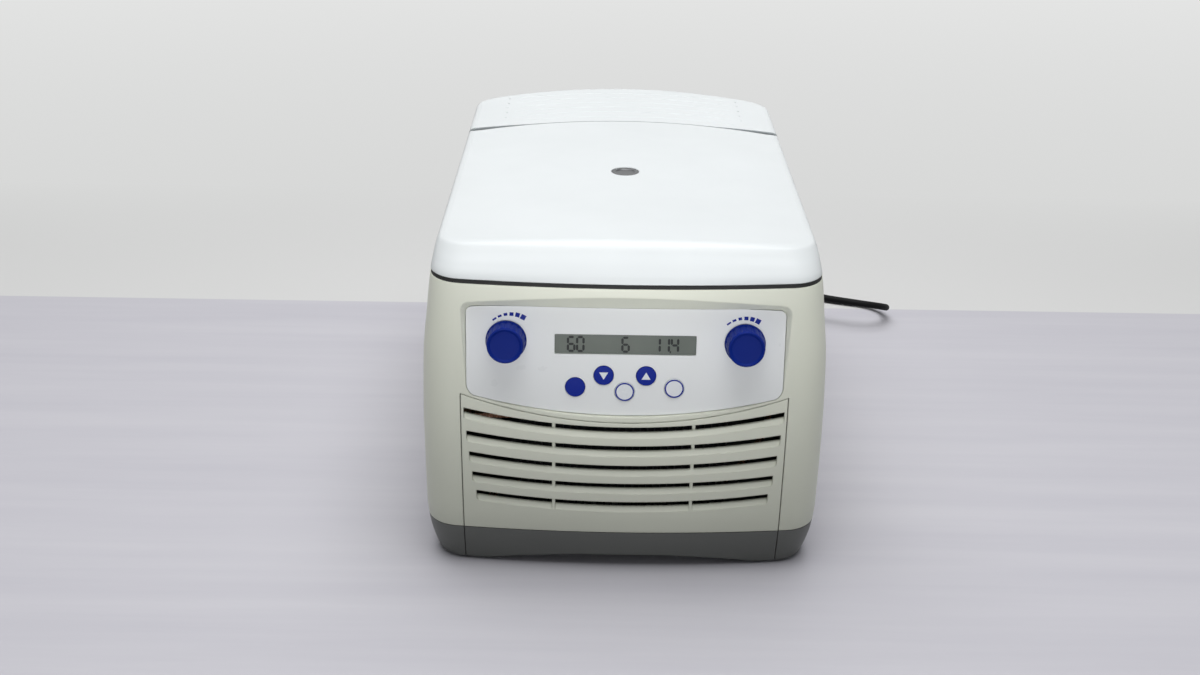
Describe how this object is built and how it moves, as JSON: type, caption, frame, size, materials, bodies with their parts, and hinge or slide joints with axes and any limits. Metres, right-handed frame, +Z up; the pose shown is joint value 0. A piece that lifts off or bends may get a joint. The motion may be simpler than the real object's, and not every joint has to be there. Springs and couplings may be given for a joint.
{
  "type": "refrigerated microcentrifuge",
  "caption": "Bench microcentrifuge with a louvred front, a leaning control panel, a hinged lid over a cooled rotor chamber, and its cooling circuit and drive inside.",
  "frame": {"origin": "on the bench, under the middle of the body", "axes": "-Y is the side with the control panel, +X is to the right of someone facing it, +Z is up"},
  "size_m": [0.443, 0.6343, 0.263],
  "materials": {
    "base_grey": "satin grey moulding",
    "front_cream": "satin, faintly warm off-white moulding",
    "lid_white": "satin cool white moulding",
    "liner_white": "satin white moulding",
    "panel_white": "smooth white printed panel",
    "sheet_grey": "pale powder coat",
    "knob_blue": "royal blue, satin",
    "key_blue": "royal blue keys",
    "key_white": "white keys",
    "display": "grey-green liquid crystal display",
    "dark_glass": "dark tinted pane",
    "black_plastic": "black moulded plastic",
    "rubber": "black rubber",
    "cord_black": "black flexible cord plastic",
    "circuit_board": "green circuit board with its parts",
    "steel": "bright steel",
    "stainless": "brushed stainless steel",
    "aluminium": "turned aluminium",
    "black_steel": "black enamel",
    "copper": "copper tube",
    "foam": "rigid foam"
  },
  "bodies": {
    "housing": {"base_pan": "base_grey", "front_skirt": "base_grey", "housing_shell": "front_cream", "front_cover": "front_cream", "rear_top_cover": "lid_white", "rear_panel": "sheet_grey", "foot_front_left": "rubber", "foot_front_right": "rubber", "foot_rear_left": "rubber", "foot_rear_right": "rubber", "hinge_trough": "front_cream", "hinge_pin_left": "steel", "hinge_pin_right": "steel", "latch_bracket": "steel", "lock_motor": "black_plastic", "control_panel": "panel_white", "display_module": "display", "control_board": "circuit_board", "time_encoder": "black_plastic", "speed_encoder": "black_plastic", "rotor_bowl": "stainless", "chamber_insulation": "foam", "evaporator_coil": "copper", "drive_motor": "black_steel", "motor_mount": "rubber", "condenser_fins": "aluminium", "condenser_coil": "copper", "fan_shroud": "black_plastic", "compressor": "black_steel", "discharge_pipe": "copper", "liquid_line": "copper", "suction_pipe": "copper", "power_board": "circuit_board", "mains_inlet": "black_plastic", "cord_connector": "cord_black", "power_cord": "cord_black", "cord_coil": "cord_black", "mains_plug": "cord_black"},
    "lid": {"lid_cover": "lid_white", "lid_liner": "liner_white", "lid_seal": "rubber", "sight_glass": "dark_glass", "lid_striker": "steel"},
    "latch": {"latch_hook": "steel"},
    "rotor": {"motor_shaft": "steel", "rotor": "aluminium", "rotor_nut": "steel"},
    "fan": {"condenser_fan": "black_plastic"},
    "time_push": {"time_push_plate": "steel"},
    "time_dial": {"time_shaft": "steel", "time_knob": "knob_blue"},
    "speed_push": {"speed_push_plate": "steel"},
    "speed_dial": {"speed_shaft": "steel", "speed_knob": "knob_blue"},
    "short_key": {"short_button": "key_blue"},
    "temp_down_key": {"temp_down_button": "key_blue"},
    "temp_up_key": {"temp_up_button": "key_blue"},
    "fast_temp_key": {"fast_temp_button": "key_white"},
    "open_key": {"open_button": "key_white"},
    "mains_rocker": {"power_switch": "black_plastic"}
  },
  "joints": [
    {"name": "lid_hinge", "type": "hinge", "parent": "housing", "child": "lid", "pos_m": [0, 0.08742, 0.24], "axis": [-1, 0, 0], "range_deg": [0, 65]},
    {"name": "latch_turn", "type": "hinge", "parent": "housing", "child": "latch", "pos_m": [0, -0.16958, 0.2], "axis": [1, 0, 0], "range_deg": [0, 20]},
    {"name": "rotor_spin", "type": "hinge", "parent": "housing", "child": "rotor", "pos_m": [0, -0.04028, 0.207], "axis": [0, 0, 1], "continuous": true},
    {"name": "fan_spin", "type": "hinge", "parent": "housing", "child": "fan", "pos_m": [0, -0.16988, 0.086], "axis": [0, -1, 0], "continuous": true},
    {"name": "time_knob_press", "type": "slide", "parent": "housing", "child": "time_push", "axis": [0, 0.9903, -0.1392], "range_m": [0, 0.0008], "stiffness_N_per_m": 3000, "springref_m": -0.0005},
    {"name": "time_knob_turn", "type": "hinge", "parent": "time_push", "child": "time_dial", "pos_m": [-0.086, -0.21526, 0.19065], "axis": [0, -0.9903, 0.1392], "continuous": true},
    {"name": "speed_knob_press", "type": "slide", "parent": "housing", "child": "speed_push", "axis": [0, 0.9903, -0.1392], "range_m": [0, 0.0008], "stiffness_N_per_m": 3000, "springref_m": -0.0005},
    {"name": "speed_knob_turn", "type": "hinge", "parent": "speed_push", "child": "speed_dial", "pos_m": [0.086, -0.21526, 0.19065], "axis": [0, -0.9903, 0.1392], "continuous": true},
    {"name": "short_press", "type": "slide", "parent": "housing", "child": "short_key", "axis": [0, 0.9903, -0.1392], "range_m": [0, 0.0008], "stiffness_N_per_m": 1200, "springref_m": -0.0005},
    {"name": "temp_down_press", "type": "slide", "parent": "housing", "child": "temp_down_key", "axis": [0, 0.9903, -0.1392], "range_m": [0, 0.0008], "stiffness_N_per_m": 1200, "springref_m": -0.0005},
    {"name": "temp_up_press", "type": "slide", "parent": "housing", "child": "temp_up_key", "axis": [0, 0.9903, -0.1392], "range_m": [0, 0.0008], "stiffness_N_per_m": 1200, "springref_m": -0.0005},
    {"name": "fast_temp_press", "type": "slide", "parent": "housing", "child": "fast_temp_key", "axis": [0, 0.9903, -0.1392], "range_m": [0, 0.0008], "stiffness_N_per_m": 1200, "springref_m": -0.0005},
    {"name": "open_press", "type": "slide", "parent": "housing", "child": "open_key", "axis": [0, 0.9903, -0.1392], "range_m": [0, 0.0008], "stiffness_N_per_m": 1200, "springref_m": -0.0005},
    {"name": "mains_rocker_turn", "type": "hinge", "parent": "housing", "child": "mains_rocker", "pos_m": [0.085, 0.22572, 0.099], "axis": [1, 0, 0], "range_deg": [0, 12]}
  ]
}
